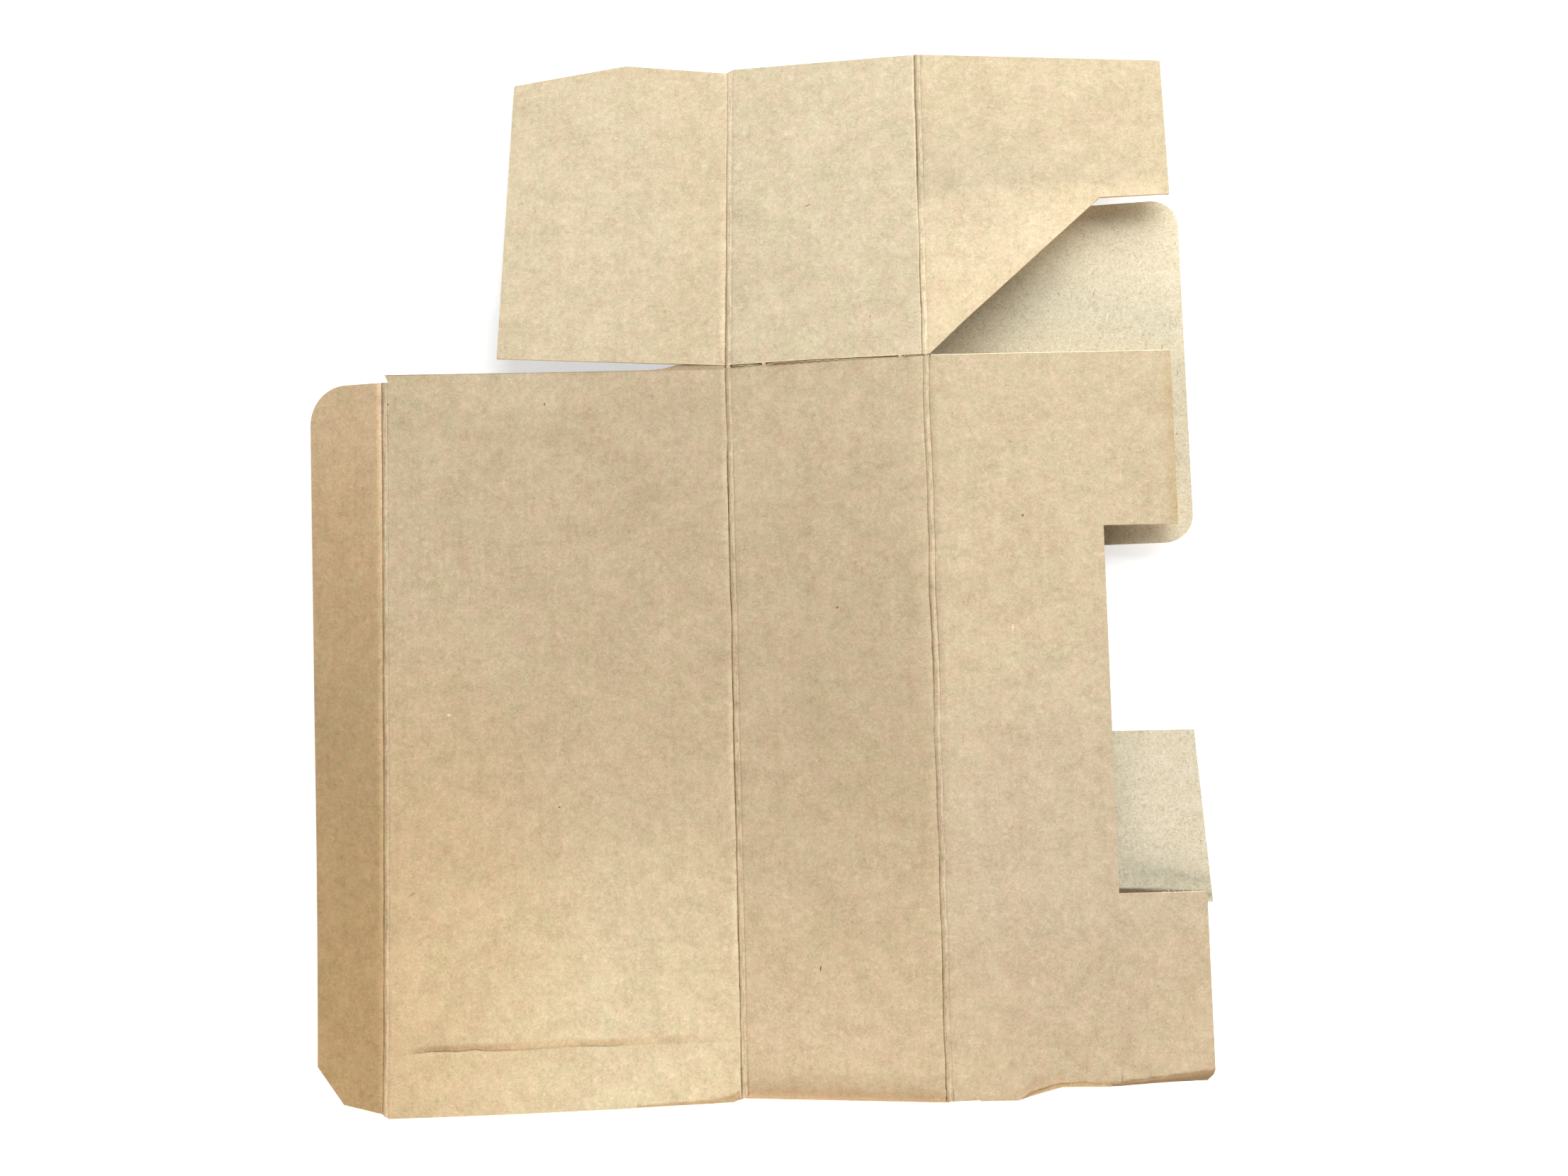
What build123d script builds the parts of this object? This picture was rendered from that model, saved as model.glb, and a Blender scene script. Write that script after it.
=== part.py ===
from build123d import *
from math import cos, degrees, pi, radians, sin, tan
import os

# A small shipping box made of one sheet of thin brown-faced board, opened up and lying
# half flat. Brown side up, from left to right: a tuck strip, the wide wall, the deep wall
# and the short wall. Above the deep wall hangs the lid with a flap on each side, joined by
# a perforated fold. Below it the sheet turns under itself and runs back up the table as
# the inner strip, grey side up, with two flaps that show to the right.
# Millimetres and degrees. X runs across the walls, Y up along them, Z up from the table.
# Zero is where the crease between wide and deep wall meets the bottom fold.

# sheet
board = 0.8
crease_half = 1.2           # half the width of a crease
crease_depth = 0.25         # depth of the two pressed lines beside its crown
# across a crease, as shares of that half width and depth: pressed line, crown, pressed line
crease_profile = (
    (-1.0, 0.0), (-0.7, 1.0), (-0.5, 0.0), (0.0, -0.3), (0.5, 0.0), (0.7, 1.0), (1.0, 0.0),
)

# walls, left to right
tuck_width = 23.4
tuck_foot_inset = 0.8       # in plan its foot is this much nearer to the wide wall
wide_width = 100.0
deep_width = 54.5
short_width_top = 66.8      # the short wall above its recess
short_width_low = 70.0      # and below it
recess_left = 46.6          # from the crease to the recess
wall_height = 197.7
outer_rise = 3.4            # how much higher the wide wall stands at its outer crease
outer_drop = 6.8            # how far its bottom edge hangs there
inner_drop = 1.8            # and beside the deep wall
inner_corner = 3.0          # that corner is this wide
short_rise = 0.6            # how much further up the short wall reaches than the others
recess_low = 52.4
recess_high = 150.4
tuck_round = 11.0
tuck_cut = (9.0, 9.5)       # chamfer at the tuck strip's foot
tuck_foot = 4.4             # how far the tuck strip hangs below zero
wide_step = 1.2             # nick between tuck strip and wide wall

# lid row, measured from the perforated fold
slot = 0.95                 # open width of the perforation
lid_height = 91.0
lid_height_right = 89.8
left_flap = 66.4
left_flap_skew = 1.6        # how much narrower it is at the top
left_flap_lift = 5.2        # its free lower corner
left_flap_top = (31.0, 94.6)
left_flap_edge = 90.6
left_flap_inner = 90.0      # at the crease
right_flap = 67.9
right_flap_top = 83.4
right_tab_low = 42.8
right_tab_inner = 49.0
bridges = (10.0, 47.6)      # nicks left uncut across the perforation
bridge_width = 1.0

# inner strip and its flaps
strip_gap = 1.2             # how much narrower the strip is on each side
inner_wide = 95.0
inner_deep = 50.8
inner_end = 96.0
inner_flap = 71.6           # from the strip's crease to the free edge
inner_flap_round = 7.5
inner_tab = 45.6
inner_tab_inner = 50.0
inner_tab_slant = 2.6
inner_creases = (inner_wide, inner_wide + inner_deep)

# how far the creases stand open, as slopes against the table
tuck_tilt_top = 6.0         # the tuck strip is bent further down towards its foot
tuck_tilt_foot = 15.7
wide_tilt = 1.6
outer_lift = 1.5            # the wide wall's outer crease curls up this much at its foot
deep_tilt = 4.2
short_tilt = -5.5
row_rise = 1.1              # all the walls climb towards the lid
lid_fall = 6.77             # and the lid falls away again
lid_lean = 0.6
left_flap_tilt = 0.5
right_flap_tilt = -0.8
inner_flap_tilt = 3.5

# bottom fold and the damage along the bottom edge
fold_lift = 8.1             # middle of the sheet above the table, at zero
fold_start = 2.9            # the deep wall is flat from here up
fold_bulge = 4.3            # how far the fold swells past that line
wrinkle_left = 9.3          # the wrinkle across the wide wall, at its outer crease
wrinkle_right = 14.0        # and at the deep wall
wrinkle_band = 2.6
wrinkle_sink = 0.9
margin_curl = 1.1           # the margin below the wrinkle curls up again
foot_crown = 0.3            # the middle of the wide wall stands up above the wrinkle
sag = 2.0                   # and sinks further up
sag_shares = (0.07, 0.16, 0.28, 0.42, 0.6, 0.8)
top_droop = 0.7
# crushed edge of the short wall: distance from the crease, where it bends, how far it then
# reaches, how far it drops, and how much of the drop comes in the first half
lip_stations = (
    (8.0, 0.2, 0.3, 0.1, 0.5),
    (18.0, 2.8, 3.1, 0.5, 0.5),
    (30.0, 4.5, 2.4, 2.1, 0.85),
    (45.0, 3.3, 1.5, 2.1, 0.85),
    (57.0, 4.8, 2.5, 2.2, 0.6),
    (68.7, 6.1, 3.7, 2.2, 0.5),
    (70.0, 6.2, 1.8, 1.2, 0.5),
)

below = 9.0                 # the row is drawn this far past its lowest edge, then cut
fold_clear = 0.15           # slit at each end of the bottom fold


def chain(start, legs):
    """Corner points of a row seen end on, one leg after the other."""
    points = [start]
    for length, tilt in legs:
        x, z = points[-1]
        points.append((x + length * cos(radians(tilt)), z + length * sin(radians(tilt))))
    return points


def toward(knot, other, distance):
    """Height on the leg from one corner to the next, at a distance along X."""
    share = distance / abs(other[0] - knot[0])
    return knot[1] + (other[1] - knot[1]) * share


def creased(knots, slack_leg=None, slack=0.0, depth=crease_depth):
    """The row's middle line: two pressed lines and a crown at each corner, one leg may sag."""
    line = [knots[0]]
    for index in range(1, len(knots) - 1):
        before, knot, after = knots[index - 1:index + 2]
        for step, dip in crease_profile:
            other = before if step < 0 else after
            height = toward(knot, other, abs(step) * crease_half)
            line.append((knot[0] + step * crease_half, height - dip * depth))
        if index == slack_leg:
            first = line[-1]
            last = (after[0] - crease_half, toward(after, knot, crease_half))
            for share in (0.15, 0.35, 0.65, 0.85):
                x = first[0] + (last[0] - first[0]) * share
                z = first[1] + (last[1] - first[1]) * share
                line.append((x, z - slack * sin(pi * share)))
    line.append(knots[-1])
    return line


def section(line, start_y, skew, slope_x, slope_y, origin_y=0.0):
    """A row cut across: its middle line with half the board above and half below."""
    upper = []
    lower = []
    for x, z in line:
        y = start_y + skew * x
        climbed = y - origin_y
        at = x + slope_x * climbed
        height = z + slope_y * climbed
        upper.append((at, y, height + board / 2))
        lower.append((at, y, height - board / 2))
    return Wire.make_polygon(upper + lower[::-1], close=True)


def cutter(*corners):
    """The die that stamps a row out: corners in plan, some with a radius."""
    face = make_face(Polyline(*[corner[:2] for corner in corners], close=True))
    for corner in corners:
        if len(corner) == 3:
            vertex = face.vertices().sort_by_distance((corner[0], corner[1], 0))[0]
            face = fillet(vertex, corner[2])
    return extrude(Pos(0, 0, -below) * face, 6 * below)


# wall row
corner_line = (0.0, fold_lift)
right_knots = chain(corner_line, [(deep_width, deep_tilt), (short_width_low + below, short_tilt)])
outer_x = -wide_width * cos(radians(wide_tilt))
deep_x = right_knots[1][0]
strip_left = strip_gap
strip_right = deep_x - strip_gap
rise = tan(radians(row_rise))
wrinkle_skew = (wrinkle_right - wrinkle_left) / wide_width
wrinkle_top = wrinkle_right + wrinkle_band
sag_reach = wall_height - below - wrinkle_top


def wall_section(y, skew=0.0, sink=0.0):
    """The wall row cut across at a height, with the slack and twist that it has there."""
    up = y / wall_height
    lift = outer_lift * max(0, 1 - 3 * up) ** 2
    tuck = tuck_tilt_foot + (tuck_tilt_top - tuck_tilt_foot) * up
    wide = wide_tilt - degrees(lift / wide_width)
    left_knots = chain(corner_line, [(-wide_width, wide), (-tuck_width - below, tuck)])
    share = min(max((y - wrinkle_top) / sag_reach, 0), 1)
    slack = sag * sin(pi * share ** 0.65) - foot_crown * (1 - share) ** 3 + sink
    return section(creased(left_knots[::-1] + right_knots[1:], 1, slack), y, skew, 0, rise)


wall_row = Solid.make_loft([
    wall_section(-below, 0, -margin_curl),
    wall_section(wrinkle_right, wrinkle_skew, wrinkle_sink),
    wall_section(wrinkle_top, wrinkle_skew),
    *(wall_section(wrinkle_top + share * sag_reach) for share in sag_shares),
    wall_section(wall_height - below),
    wall_section(wall_height + outer_rise + 1, 0, top_droop),
], ruled=True)

tuck_x = outer_x - tuck_width * cos(radians(tuck_tilt_top))
tuck_foot_x = tuck_x + tuck_foot_inset
short_cos = cos(radians(short_tilt))
lip_line = [(deep_x + along * short_cos, bend) for along, bend, *_ in lip_stations]
wall_cutter = cutter(
    (tuck_foot_x, tuck_cut[1] - tuck_foot),
    (tuck_foot_x + tuck_cut[0], -tuck_foot),
    (outer_x - crease_half, -tuck_foot - wide_step),
    (outer_x + crease_half, -outer_drop),
    (-inner_corner, -inner_drop),
    (strip_left - fold_clear, 0),
    (strip_left - fold_clear, fold_start),
    (strip_right + fold_clear, fold_start),
    (strip_right + fold_clear, 0),
    *lip_line,
    (deep_x + short_width_low * short_cos, recess_low),
    (deep_x + recess_left * short_cos, recess_low),
    (deep_x + recess_left * short_cos, recess_high),
    (deep_x + short_width_top * short_cos, recess_high),
    (deep_x + short_width_top * short_cos, wall_height + short_rise),
    (deep_x + crease_half, wall_height + short_rise),
    (deep_x, wall_height),
    (0, wall_height),
    (outer_x, wall_height + outer_rise),
    (outer_x + crease_half, wall_height + wide_step),
    (outer_x - crease_half, wall_height + wide_step),
    (tuck_x, wall_height + wide_step, tuck_round),
)
walls = wall_row & wall_cutter

# crushed lip along the bottom of the short wall
lip_sections = []
for (x, y), (_, _, reach, drop, first) in zip(lip_line, lip_stations):
    z = toward(right_knots[1], right_knots[2], x - deep_x) + rise * y
    lip_sections.append(Wire.make_polygon([
        (x, y, z + board / 2),
        (x, y - reach / 2, z + board / 2 - drop * first),
        (x, y - reach, z + board / 2 - drop),
        (x, y - reach + board / 4, z - board / 2 - drop),
        (x, y - reach / 2 + board / 4, z - board / 2 - drop * first),
        (x, y, z - board / 2),
    ], close=True))
lip = Solid.make_loft(lip_sections, ruled=True)

# lid row beyond the perforated fold
hinge_y = wall_height + slot
hinge_lift = fold_lift + rise * hinge_y
lid_left = (0.0, hinge_lift)
lid_right = (deep_x, hinge_lift + deep_x * tan(radians(deep_tilt)))
lid_knots = chain(lid_left, [(-left_flap - below, left_flap_tilt)])[::-1]
lid_knots += chain(lid_right, [(right_flap + below, right_flap_tilt)])
lean = tan(radians(lid_lean))
fall = -tan(radians(lid_fall))
lid_row = Solid.make_loft([
    section(creased(lid_knots), y, 0, lean, fall, hinge_y)
    for y in (hinge_y, hinge_y + left_flap_top[1] + 1)
], ruled=True)


def lid_point(x, up):
    """A place on the lid row, from the fold upwards, with the row's lean."""
    return (x + lean * up, hinge_y + up)


lid_cutter = cutter(
    lid_point(-left_flap, left_flap_lift),
    lid_point(-left_flap + left_flap_skew, left_flap_edge),
    lid_point(-left_flap_top[0], left_flap_top[1]),
    lid_point(-crease_half, left_flap_inner),
    lid_point(crease_half, lid_height),
    lid_point(deep_x, lid_height_right),
    lid_point(deep_x + right_flap, right_flap_top),
    lid_point(deep_x + right_flap, right_tab_low),
    lid_point(deep_x + right_tab_inner, right_tab_low),
    lid_point(deep_x + crease_half, 0),
    lid_point(-crease_half, 0),
)
lid = lid_row & lid_cutter

# inner strip, flat on the table, and its flaps
strip_hinge = strip_right + crease_half
strip_legs = [(strip_hinge - strip_left, 0), (inner_flap + below, inner_flap_tilt)]
strip_knots = chain((strip_left, board / 2), strip_legs)
inner_top = inner_wide + inner_deep + inner_end
strip_row = Solid.make_loft([
    section(creased(strip_knots, depth=-crease_depth), y, 0, 0, 0)
    for y in (fold_start, inner_top)
], ruled=True)
flap_x = strip_hinge + inner_flap * cos(radians(inner_flap_tilt))
strip_cutter = cutter(
    (strip_left, fold_start),
    (strip_left, inner_top),
    (strip_right, inner_top),
    (flap_x, inner_top, inner_flap_round),
    (flap_x, inner_top - inner_end, inner_flap_round),
    (strip_hinge + crease_half, inner_top - inner_end),
    (strip_right, inner_top - inner_end - crease_half),
    (strip_right, inner_wide + crease_half),
    (strip_hinge + crease_half, inner_wide),
    (flap_x - inner_tab_slant, inner_wide),
    (flap_x, inner_wide - inner_tab),
    (strip_hinge + inner_tab_inner, inner_wide - inner_tab),
    (strip_hinge + crease_half, fold_start + crease_half),
    (strip_right, fold_start + crease_half),
    (strip_right, fold_start),
)
strip = strip_row & strip_cutter
for y in inner_creases:
    groove = make_face(Polyline(
        (y - crease_half, 0), (y, crease_depth), (y + crease_half, 0), (y, -crease_depth), close=True))
    strip -= extrude(Plane((strip_left - 1, 0, 0), x_dir=(0, 1, 0), z_dir=(1, 0, 0)) * groove, strip_hinge)

# bottom fold: half an ellipse at each end of the strip's width
fold_ends = []
for x in (strip_left, strip_right):
    height = fold_lift + x * tan(radians(deep_tilt)) + rise * fold_start + board / 2
    centre = (fold_start, height / 2)
    plane = Plane((x, 0, 0), x_dir=(0, 1, 0), z_dir=(1, 0, 0))
    half_turn = {"start_angle": 90, "arc_size": 180}
    outer = EllipticalCenterArc(centre, fold_bulge + board / 2, height / 2, **half_turn)
    inner = EllipticalCenterArc(centre, fold_bulge - board / 2, height / 2 - board, **half_turn)
    rim = [outer, Line(outer @ 1, inner @ 1), inner, Line(inner @ 0, outer @ 0)]
    fold_ends.append(plane * make_face(rim))
fold = loft(fold_ends, ruled=True)

# uncut bridges across the perforation
nicks = []
for x in (0, *bridges, deep_x):
    ends = []
    for y in (wall_height, hinge_y):
        corners = []
        for side, up in ((-1, 1), (1, 1), (1, -1), (-1, -1)):
            at = x + side * bridge_width / 2
            z = fold_lift + rise * y + at * tan(radians(deep_tilt)) + up * board / 2
            corners.append((at, y, z))
        ends.append(Wire.make_polygon(corners, close=True))
    nicks.append(Solid.make_loft(ends, ruled=True))

blank = walls + lip + lid + strip + fold + nicks
bounds = blank.bounding_box()
blank = Pos(-bounds.center().X, -bounds.center().Y, -bounds.min.Z) * blank

os.makedirs("parts", exist_ok=True)
export_step(blank, "parts/folded_blank.step")
print("folded blank", blank.is_valid, len(blank.solids()), [round(v, 2) for v in bounds.size])
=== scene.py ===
import math

import bmesh
import bpy
from mathutils import Matrix, Vector, noise


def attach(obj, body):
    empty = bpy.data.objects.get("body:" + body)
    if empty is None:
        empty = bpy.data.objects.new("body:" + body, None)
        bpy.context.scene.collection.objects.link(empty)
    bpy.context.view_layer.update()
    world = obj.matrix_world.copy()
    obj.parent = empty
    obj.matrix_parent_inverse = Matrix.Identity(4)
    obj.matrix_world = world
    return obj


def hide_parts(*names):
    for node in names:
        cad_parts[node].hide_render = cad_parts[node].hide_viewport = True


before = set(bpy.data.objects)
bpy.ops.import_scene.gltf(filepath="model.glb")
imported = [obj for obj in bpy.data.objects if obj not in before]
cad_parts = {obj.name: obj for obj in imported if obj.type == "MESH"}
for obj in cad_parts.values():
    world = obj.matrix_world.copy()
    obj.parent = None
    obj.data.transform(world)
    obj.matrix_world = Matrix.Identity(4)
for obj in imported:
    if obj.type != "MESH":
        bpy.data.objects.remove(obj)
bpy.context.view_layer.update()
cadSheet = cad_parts["folded_blank"]
mm = 0.001


# Node trees as arithmetic

class Wire:
    # one output of a node tree: sums on it add Math nodes, and add() makes any other node
    def __init__(self, tree, socket=None):
        self.tree = tree
        self.socket = socket

    def add(self, kind, settings, inputs, output=0):
        node = self.tree.nodes.new(kind)
        for name, value in settings.items():
            setattr(node, name, value)
        for name, value in inputs.items():
            if isinstance(value, Wire):
                self.tree.links.new(value.socket, node.inputs[name])
            else:
                node.inputs[name].default_value = value
        return Wire(self.tree, node.outputs[output])

    def maths(self, operation, *values):
        return self.add("ShaderNodeMath", {"operation": operation}, dict(enumerate(values)))

    def __add__(self, other):
        return self.maths("ADD", self, other)

    def __sub__(self, other):
        return self.maths("SUBTRACT", self, other)

    def __mul__(self, other):
        return self.maths("MULTIPLY", self, other)

    def __radd__(self, other):
        return self.maths("ADD", other, self)

    def __rsub__(self, other):
        return self.maths("SUBTRACT", other, self)

    def __rmul__(self, other):
        return self.maths("MULTIPLY", other, self)

    def positive(self):
        return self.maths("ABSOLUTE", self)

    def atMost(self, most):
        return self.maths("MINIMUM", self, most)

    def length(self):
        return self.add("ShaderNodeVectorMath", {"operation": "LENGTH"}, {0: self}, "Value")

    def limited(self, low, high, smooth=True):
        # 0 below low, 1 above high
        kind = "SMOOTHSTEP" if smooth else "LINEAR"
        return self.add("ShaderNodeMapRange", {"interpolation_type": kind},
                        {"Value": self, "From Min": low, "From Max": high})

    def moved(self, offset=(0, 0, 0), scale=(1, 1, 1), turn=(0, 0, 0)):
        return self.add("ShaderNodeMapping", {},
                        {"Vector": self, "Location": offset, "Rotation": turn, "Scale": scale})

    def clouds(self, size, detail=2.0, rough=0.5, twist=0.0):
        # noise whose blotches are about this size, in metres
        return self.add("ShaderNodeTexNoise", {},
                        {"Vector": self, "Scale": 1 / size, "Detail": detail, "Roughness": rough,
                         "Distortion": twist}, "Fac")

    def bands(self, pitch, twist=0.0):
        # waves along X that repeat at this pitch, in metres
        return self.add("ShaderNodeTexWave", {"bands_direction": "X"},
                        {"Vector": self, "Scale": math.pi / 10 / pitch, "Distortion": twist}, "Fac")

    def carried(self, name, output="Fac"):
        # what each corner of the sheet carries under this name
        return self.add("ShaderNodeAttribute", {"attribute_name": name}, {}, output)

    def mixed(self, first, second):
        # first where this is 0, second where it is 1
        return self.add("ShaderNodeMix", {"data_type": "RGBA"}, {"Factor": self, 6: first, 7: second}, 2)

    def toned(self, dark, middle, light):
        # dark at 0, middle at a half, light at 1
        base = self.limited(0, 0.5, False).mixed(dark, middle)
        return self.limited(0.5, 1, False).mixed(base, light)

    def withShadeAndTone(self):
        # times the painted light and shade, with the paper's own tone, that each corner of the sheet carries
        return self.add("ShaderNodeVectorMath", {"operation": "MULTIPLY"},
                        {0: self, 1: self.carried("tint", "Color")})

    def along(self, shares):
        # a vector: this value times a share for each axis
        return self.add("ShaderNodeCombineXYZ", {}, {axis: self * share for axis, share in enumerate(shares)})

    def bump(self, strength, distance):
        return self.add("ShaderNodeBump", {},
                        {"Height": self, "Strength": strength, "Distance": distance}, "Normal")


def finish(name, rough, reflects=0.25):
    # a new material, its Principled shader and the object's coordinates
    made = bpy.data.materials.new(name)
    made.use_nodes = True
    shader = made.node_tree.nodes["Principled BSDF"]
    shader.inputs["Roughness"].default_value = rough
    shader.inputs["Specular IOR Level"].default_value = reflects
    place = Wire(made.node_tree).add("ShaderNodeTexCoord", {}, {}, "Object")
    return made, shader, place


def wired(shader, name, wire):
    wire.tree.links.new(wire.socket, shader.inputs[name])


def rgb(red, green, blue):
    # a colour as seen on a screen, 0 to 255, for a colour socket
    linear = []
    for value in (red, green, blue):
        share = value / 255
        linear.append(share / 12.92 if share <= 0.04045 else ((share + 0.055) / 1.055) ** 2.4)
    return (*linear, 1)


# View, table and light

view = {
    "lens": 27.9,                               # mm on a 36 mm sensor
    "place": (39.71, -34.58, 342.0),            # mm
    "right": (0.99622, -0.02405, -0.08344),
    "up": (0.03075, 0.99633, 0.07993),
    "nearest": 10 * mm,
}


def makeCamera():
    right = Vector(view["right"]).normalized()
    back = right.cross(Vector(view["up"])).normalized()
    up = back.cross(right)
    camera = bpy.data.objects.new("camera", bpy.data.cameras.new("camera"))
    camera.data.lens = view["lens"]
    camera.data.clip_start = view["nearest"]
    turned = Matrix((right, up, back)).transposed().to_4x4()
    camera.matrix_world = Matrix.Translation(Vector(view["place"]) * mm) @ turned
    bpy.context.scene.collection.objects.link(camera)
    bpy.context.scene.camera = camera


stage = {
    "floorSize": 6.0,                           # metres
    "floor": rgb(240, 240, 239),
    "floorRough": 0.9,
    "whiter": (0.62, 0.95),                     # added to the floor for the camera alone, near and far
    "far": (0.4, 1.4),                          # metres from the middle: near ends, far begins
    "sky": 0.07,                                # how strongly it lights, and seen or mirrored it is white
}
# each lamp: watts, colour, width and height, where it shines from and what it aims at
lamps = {
    "window": {"power": 33.0, "tint": (0.96, 1.0, 0.995), "size": (1.4, 1.0), "turn": 59.0, "height": 22.5,
               "away": 1.1, "aim": (0.0, 0.0)},
    "lamp": {"power": 2.45, "tint": (0.98, 0.84, 0.72), "size": (0.4, 0.2), "turn": -100.0, "height": 22.0,
             "away": 0.5, "aim": (0.0, -0.05)},
}


def makeLamp(name, power, tint, size, turn, height, away, aim):
    light = bpy.data.lights.new(name, "AREA")
    light.shape = "RECTANGLE"
    light.size, light.size_y = size
    light.energy = power
    light.color = tint
    turn, height = math.radians(turn), math.radians(height)
    toward = Vector((math.cos(turn) * math.cos(height), math.sin(turn) * math.cos(height), math.sin(height)))
    holder = bpy.data.objects.new(name, light)
    holder.location = Vector((*aim, 0)) + toward * away
    holder.rotation_euler = toward.to_track_quat("Z", "Y").to_euler()
    bpy.context.scene.collection.objects.link(holder)


def makeFloor():
    bpy.ops.mesh.primitive_plane_add(size=stage["floorSize"])
    floor = bpy.context.object
    floor.name = "table"
    made, shader, place = finish("pale_table", stage["floorRough"])
    shader.inputs["Base Color"].default_value = stage["floor"]
    seen = place.add("ShaderNodeLightPath", {}, {}, "Is Camera Ray")
    near, far = stage["whiter"]
    white = seen * (place.length().limited(*stage["far"]) * (far - near) + near)
    shine = place.add("ShaderNodeEmission", {}, {"Color": white})
    lit = Wire(made.node_tree, shader.outputs[0])
    total = place.add("ShaderNodeAddShader", {}, {0: lit, 1: shine})
    wired(made.node_tree.nodes["Material Output"], "Surface", total)
    floor.data.materials.append(made)


def makeRoom():
    room = bpy.data.worlds.new("room")
    bpy.context.scene.world = room
    room.use_nodes = True
    air = Wire(room.node_tree)
    seen = air.add("ShaderNodeLightPath", {}, {}, "Is Camera Ray")
    mirrored = air.add("ShaderNodeLightPath", {}, {}, "Is Glossy Ray")
    background = room.node_tree.nodes["Background"]
    background.inputs["Color"].default_value = (1, 1, 1, 1)
    wired(background, "Strength", stage["sky"] + (seen + mirrored).atMost(1) * (1 - stage["sky"]))


bpy.context.scene.view_settings.view_transform = "Standard"
makeCamera()
makeFloor()
makeRoom()
for name, values in lamps.items():
    makeLamp(name, **values)
print("camera, table and light made")


# The board's three finishes

brown = {
    "rough": 0.86,
    "dark": rgb(150, 128, 98),
    "light": rgb(250, 229, 199),
    "warm": rgb(212, 188, 158),
    "cool": rgb(207, 190, 156),
    "patches": {"size": 5 * mm, "detail": 2.0, "rough": 0.8},       # warm and cool ones
    "patchesFrom": (0.3, 0.2, 0),
    "patchReach": (0.3, 0.7),
    # its mottling, coarse to fine: size and strength
    "mottles": ((14 * mm, 0.18), (4.5 * mm, 0.28), (1.5 * mm, 0.28), (0.5 * mm, 0.4)),
    "mottling": {"detail": 1.0, "rough": 0.8, "twist": 0.35},
    # pale flakes and dark strokes
    "flecks": (
        {"noise": {"size": 1.5 * mm, "detail": 1.0, "rough": 0.6, "twist": 0.6},
         "from": (0, 0, 0), "squeeze": (1, 1.3, 1), "reach": (0.56, 0.68), "tone": 0.07},
        {"noise": {"size": 1.1 * mm, "detail": 1.0, "rough": 0.6, "twist": 0.8},
         "from": (0.1, 0, 0), "squeeze": (1.5, 0.9, 1), "reach": (0.6, 0.7), "tone": -0.08},
    ),
    "ribPitch": 2.4 * mm,
    "ribTone": 0.012,
    "ribHeight": 0.3,
    # cracks on a crown
    "cracks": {"size": 0.5 * mm, "detail": 2.0, "rough": 0.7, "twist": 0.4},
    "crackSqueeze": (1, 0.12, 0.12),
    "crackReach": (0.43, 0.54),
    "crackTone": 0.22,
    "crackHeight": 2.0,
    # the crown darkened with painted shade, and the pressed lines with painted shade and some dirt
    "crownShade": -0.15,
    "pressedTone": -0.3,
    "grain": {"size": 0.6 * mm, "detail": 2.0, "rough": 0.7},
    "bump": (0.3, 0.05 * mm),
    "speck": rgb(112, 92, 66),
    "speckRim": (0.6, 1.25),                        # it fades between these shares of its radius
    # single specks: place in mm, length and width in mm, slant in degrees, darker (-) or lighter (+)
    "specks": (
        (-54.0, 47.0, 0.9, 0.5, 90, -0.78),
        (-100.2, 49.2, 0.6, 0.6, 0, -0.78),
        (-94.0, -89.5, 2.2, 0.9, 30, -0.312),
        (20.0, -109.3, 1.7, 0.4, 80, -0.91),
        (-51.8, -66.0, 0.8, 0.5, 20, -0.78),
        (27.2, -13.1, 0.8, 0.6, 45, -0.78),
        (21.7, 101.3, 1.8, 0.4, 25, -0.65),
        (-83.1, -39.9, 1.1, 0.8, 0, 0.5),
        (74.0, -19.8, 1.6, 0.5, 85, 0.44),
        (77.8, 10.3, 0.8, 0.7, 0, -0.78),
        (38.4, 66.8, 1.0, 0.5, 60, -0.52),
        (-30.5, 10.0, 0.7, 0.4, 0, -0.52),
    ),
}


def mottled(place, paper):
    tone = 0.5
    for size, strength in paper["mottles"]:
        tone = tone + (place.clouds(size, **paper["mottling"]) - 0.5) * strength
    return tone


def speckAt(place, x, y, long, wide, slant):
    # 1 on one speck and 0 beside it
    spot = place.add("ShaderNodeMapping", {"vector_type": "TEXTURE"}, {
        "Vector": place, "Location": (x * mm, y * mm, 0), "Rotation": (0, 0, math.radians(slant)),
        "Scale": (long * mm / 2, wide * mm / 2, 1)})
    return 1 - spot.length().limited(*brown["speckRim"])


def brownPaper():
    made, shader, place = finish("brown_paper", brown["rough"])
    tone = mottled(place, brown)
    for fleck in brown["flecks"]:
        flecks = place.moved(fleck["from"], fleck["squeeze"]).clouds(**fleck["noise"])
        tone = tone + flecks.limited(*fleck["reach"]) * fleck["tone"]
    rib = place.bands(brown["ribPitch"])
    tone = tone + (rib - 0.5) * brown["ribTone"]
    crown = place.carried("crown")
    cracks = place.moved(scale=brown["crackSqueeze"]).clouds(**brown["cracks"])
    # lighter cracked fibres on a crown, under painted shade
    tone = tone + crown * (cracks.limited(*brown["crackReach"]) * brown["crackTone"] + brown["crownShade"])
    # painted shade, with some dirt, in the crease lines and the wrinkle
    tone = tone + place.carried("pressed") * brown["pressedTone"]
    dirt = 0.0
    for *spot, change in brown["specks"]:
        if change > 0:
            tone = tone + speckAt(place, *spot) * change
        else:
            dirt = dirt - speckAt(place, *spot) * change
    hue = place.moved(brown["patchesFrom"]).clouds(**brown["patches"]).limited(*brown["patchReach"])
    base = tone.toned(brown["dark"], hue.mixed(brown["warm"], brown["cool"]), brown["light"])
    wired(shader, "Base Color", dirt.mixed(base, brown["speck"]).withShadeAndTone())
    relief = place.clouds(**brown["grain"]) + rib * brown["ribHeight"] + crown * cracks * brown["crackHeight"]
    wired(shader, "Normal", relief.bump(*brown["bump"]))
    return made


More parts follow.
